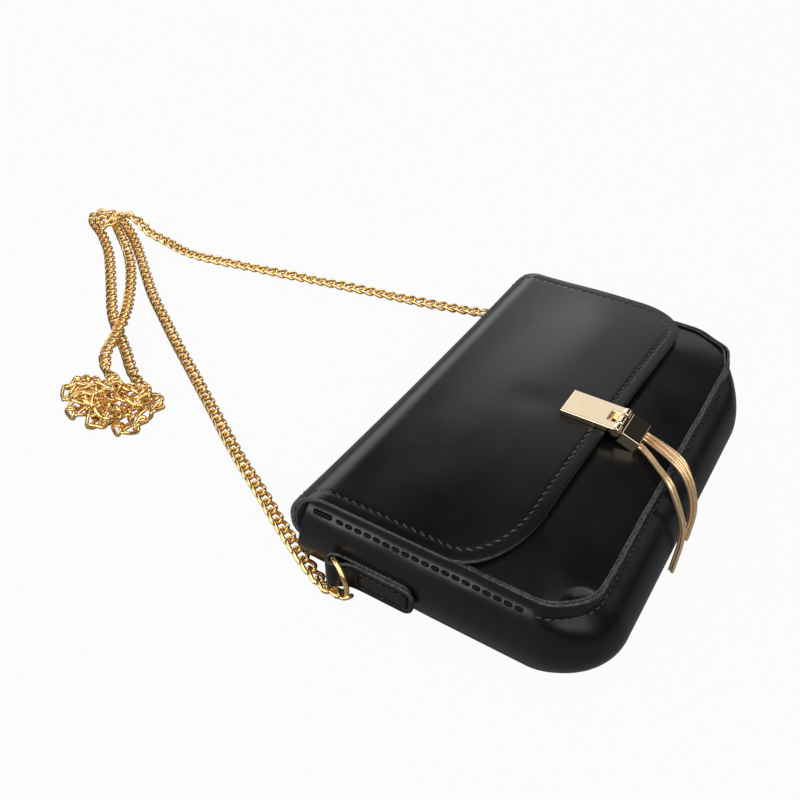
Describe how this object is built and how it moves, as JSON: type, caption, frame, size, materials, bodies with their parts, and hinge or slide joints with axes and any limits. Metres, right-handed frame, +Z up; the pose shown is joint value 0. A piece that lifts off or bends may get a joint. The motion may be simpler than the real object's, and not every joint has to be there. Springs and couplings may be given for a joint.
{
  "type": "chain shoulder bag",
  "caption": "Small black leather flap bag on its back: flap rolled over the top, hinged gold clasp with a strand tassel, D-rings in side tabs and a long loose gold chain strap.",
  "frame": {"origin": "on the floor below the middle of the bag, which lies on its back; the chain is left out", "axes": "+X to the bag's right, +Y to the roll at its top, +Z up and out of its front"},
  "size_m": [0.2336, 0.4347, 0.0524],
  "materials": {
    "black_leather": "smooth, semi-gloss",
    "lining_cloth": "matt",
    "pale_gold": "polished",
    "snap_steel": "satin",
    "strand_gold": "polished",
    "chain_gold": "polished"
  },
  "bodies": {
    "bag": {"gusset": "black_leather", "back_panel": "black_leather", "front_panel": "black_leather", "front_welt": "black_leather", "lining": "lining_cloth", "roll_lower": "black_leather", "snap_socket": "snap_steel", "near_tab": "black_leather", "far_tab": "black_leather", "chain_near_run": "chain_gold", "chain_left_strand": "chain_gold", "chain_heap": "chain_gold", "chain_right_strand": "chain_gold", "chain_far_run": "chain_gold"},
    "flap_fold": {"roll_upper": "black_leather"},
    "flap": {"flap": "black_leather", "flap_lining": "lining_cloth", "clasp_plate": "pale_gold", "hinge_pin": "pale_gold", "snap_stud": "snap_steel"},
    "tassel": {"tassel_block": "pale_gold", "tassel_strand_1": "strand_gold", "tassel_strand_2": "strand_gold", "tassel_strand_3": "strand_gold", "tassel_strand_4": "strand_gold", "tassel_strand_5": "strand_gold", "tassel_strand_6": "strand_gold", "tassel_strand_7": "strand_gold", "tassel_strand_8": "strand_gold"},
    "near_ring": {"near_ring": "chain_gold"},
    "far_ring": {"far_ring": "chain_gold"}
  },
  "joints": [
    {"name": "fold_turn", "type": "hinge", "parent": "bag", "child": "flap_fold", "pos_m": [0, 0.0495, 0.0265], "axis": [-1, 0, 0], "range_deg": [0, 54], "deforming": ["roll_lower", "roll_upper"]},
    {"name": "flap_turn", "type": "hinge", "parent": "flap_fold", "child": "flap", "pos_m": [0, 0.0495, 0.0265], "axis": [-1, 0, 0], "range_deg": [0, 54], "deforming": ["roll_lower", "roll_upper"]},
    {"name": "tassel_swing", "type": "hinge", "parent": "flap", "child": "tassel", "pos_m": [0, -0.031, 0.0501], "axis": [-1, 0, 0], "range_deg": [0, 100]},
    {"name": "near_ring_swing", "type": "hinge", "parent": "bag", "child": "near_ring", "pos_m": [-0.1047, 0.0435, 0.0125], "axis": [0, 0, -1], "range_deg": [-10, 150], "deforming": ["chain_near_run"]},
    {"name": "far_ring_swing", "type": "hinge", "parent": "bag", "child": "far_ring", "pos_m": [0.1047, 0.0435, 0.0125], "axis": [0, 0, 1], "range_deg": [-10, 150], "deforming": ["chain_far_run"]}
  ],
  "couplings": [
    {"joint": "flap_turn", "follows": "fold_turn", "ratio": 1}
  ]
}
